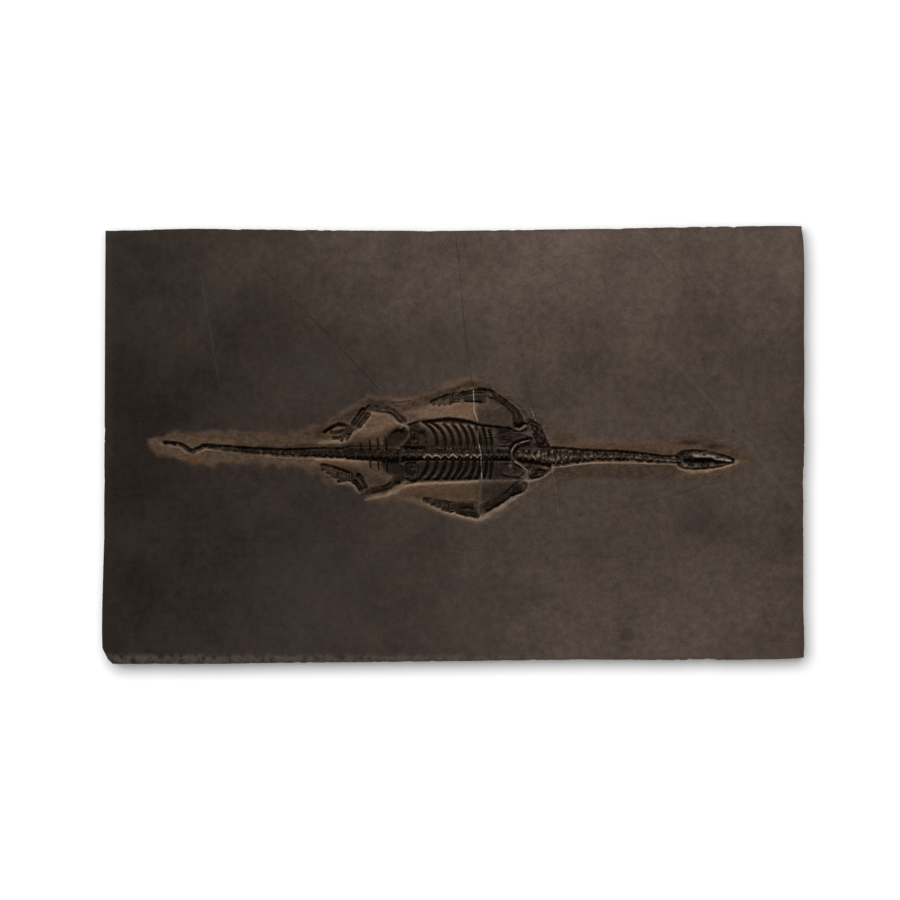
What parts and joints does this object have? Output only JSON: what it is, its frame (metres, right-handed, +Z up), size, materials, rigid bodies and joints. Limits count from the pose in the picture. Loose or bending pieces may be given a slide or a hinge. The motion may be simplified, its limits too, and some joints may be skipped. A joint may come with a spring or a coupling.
{
  "type": "keichousaurus fossil",
  "caption": "Flat dark stone slab with the outstretched skeleton of a small long-necked marine reptile lying in a shallow worked hollow, made to lie flat.",
  "frame": {"origin": "middle of the slab's flat underside", "axes": "+X along the slab's long side towards the animal's head, +Y towards the animal's left side, +Z up out of the face that carries the bones"},
  "size_m": [0.3514, 0.2192, 0.02],
  "materials": {
    "slab_stone": "dark brown-grey limestone, honed face with tan abraded ground round the bones, matt",
    "fossil_bone": "near-black mineralised bone, finely grained, slightly glossy",
    "pale_bone": "pale calcite-crusted bone, matt"
  },
  "bodies": {
    "root": {"matrix_slab": "slab_stone", "skull": "fossil_bone", "neck_vertebrae": "fossil_bone", "back_vertebrae_and_ribs": "fossil_bone", "tail_vertebrae": "fossil_bone", "clavicle_arch": "pale_bone", "coracoid_left": "fossil_bone", "coracoid_right": "fossil_bone", "scapula_left": "fossil_bone", "scapula_right": "fossil_bone", "pelvis_left": "fossil_bone", "pelvis_right": "fossil_bone", "humerus_left": "fossil_bone", "humerus_right": "fossil_bone", "radius_left": "fossil_bone", "radius_right": "fossil_bone", "ulna_left": "fossil_bone", "ulna_right": "fossil_bone", "hand_left": "fossil_bone", "hand_right": "fossil_bone", "femur_left": "fossil_bone", "femur_right": "fossil_bone", "tibia_left": "fossil_bone", "tibia_right": "fossil_bone", "fibula_left": "fossil_bone", "fibula_right": "fossil_bone", "foot_left": "fossil_bone", "foot_right": "fossil_bone"}
  },
  "joints": []
}
